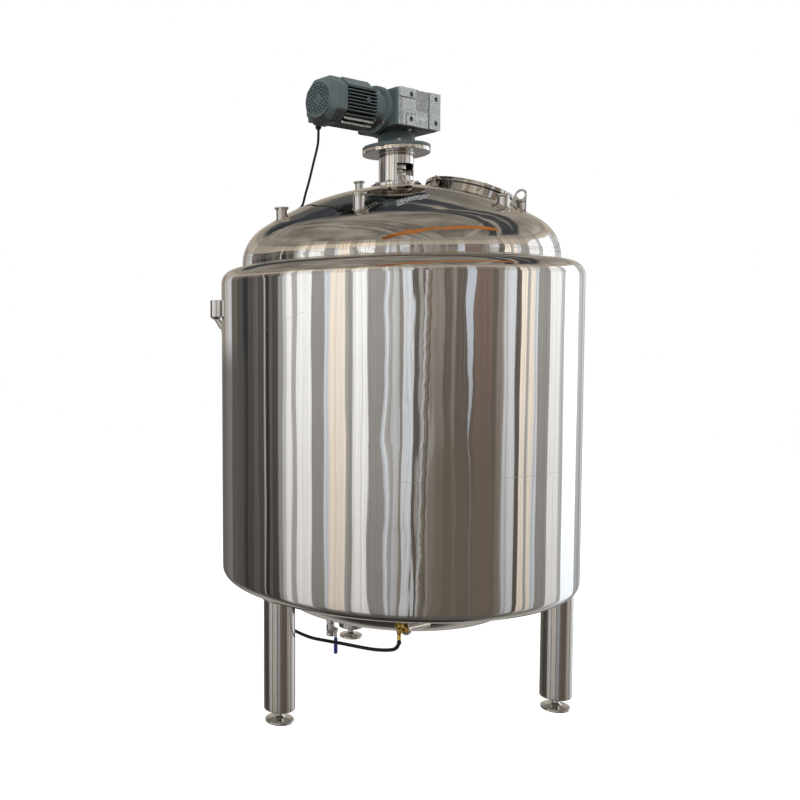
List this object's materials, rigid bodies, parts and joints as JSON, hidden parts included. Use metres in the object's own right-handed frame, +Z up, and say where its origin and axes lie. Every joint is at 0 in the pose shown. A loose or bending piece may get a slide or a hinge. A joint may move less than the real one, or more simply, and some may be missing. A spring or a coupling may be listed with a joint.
{
  "type": "jacketed mixing tank",
  "caption": "Upright round steel process vessel with a heating jacket, domed top, hinged manhole, legs with levelling feet, and a geared motor that turns a mixing shaft.",
  "frame": {"origin": "on the floor at the tank's upright axis, the middle of the base of the whole box", "axes": "+Z up along the tank's axis; the motor's level axis runs from the gearbox to -Y; +X is the side of the gearbox's bare mounting face"},
  "size_m": [1.3, 1.3, 2.236],
  "materials": {
    "polished_stainless": "mirror polished stainless steel",
    "satin_stainless": "satin stainless steel",
    "grey_paint": "half-gloss blue-grey machine paint",
    "bare_casting": "bare machined casting",
    "brass": "bright brass",
    "blue_sleeve": "dipped vinyl",
    "black_rubber": "smooth black"
  },
  "bodies": {
    "tank": {"jacket_wall": "polished_stainless", "jacket_shoulder": "polished_stainless", "top_head": "polished_stainless", "neck_pad": "polished_stainless", "lantern_neck": "polished_stainless", "lantern_top_flange": "polished_stainless", "manhole_collar": "polished_stainless", "nozzle_left": "polished_stainless", "nozzle_front": "polished_stainless", "nozzle_right": "polished_stainless", "nozzle_rear": "polished_stainless", "lifting_lug_1": "polished_stainless", "lifting_lug_2": "polished_stainless", "jacket_bottom": "satin_stainless", "vessel_wall": "satin_stainless", "vessel_bottom_head": "satin_stainless", "leg_1": "satin_stainless", "leg_2": "satin_stainless", "leg_3": "satin_stainless", "leg_foot_1": "satin_stainless", "leg_foot_2": "satin_stainless", "leg_foot_3": "satin_stainless", "lid_hinge_bracket": "satin_stainless", "jacket_inlet": "satin_stainless", "drain_pipe": "satin_stainless", "drain_valve": "satin_stainless", "jacket_drain_stub": "satin_stainless", "jacket_fitting": "satin_stainless", "gearbox_flange": "grey_paint", "gearbox_housing": "grey_paint", "motor_adaptor": "grey_paint", "motor_body": "grey_paint", "fan_cowl": "grey_paint", "terminal_box": "grey_paint", "gearbox_foot_face": "bare_casting", "brass_elbow": "brass", "motor_lead_end": "brass", "cable_gland": "black_rubber", "jacket_hose": "black_rubber", "motor_lead": "black_rubber"},
    "agitator": {"agitator_shaft": "satin_stainless", "shaft_coupling": "satin_stainless", "impeller": "satin_stainless"},
    "lid": {"manhole_lid": "polished_stainless"},
    "lever": {"drain_lever": "satin_stainless", "drain_lever_grip": "blue_sleeve"}
  },
  "joints": [
    {"name": "agitator_spin", "type": "hinge", "parent": "tank", "child": "agitator", "pos_m": [0, 0, 1.2], "axis": [0, 0, 1], "continuous": true},
    {"name": "lid_hinge", "type": "hinge", "parent": "tank", "child": "lid", "pos_m": [0.00574, 0.36002, 1.86823], "axis": [-0.59, -0.7485, 0.3028], "range_deg": [0, 100]},
    {"name": "lever_turn", "type": "hinge", "parent": "tank", "child": "lever", "pos_m": [-0.053, -0.2538, 0.247], "axis": [-0.9903, 0.1392, 0], "range_deg": [0, 90]}
  ]
}
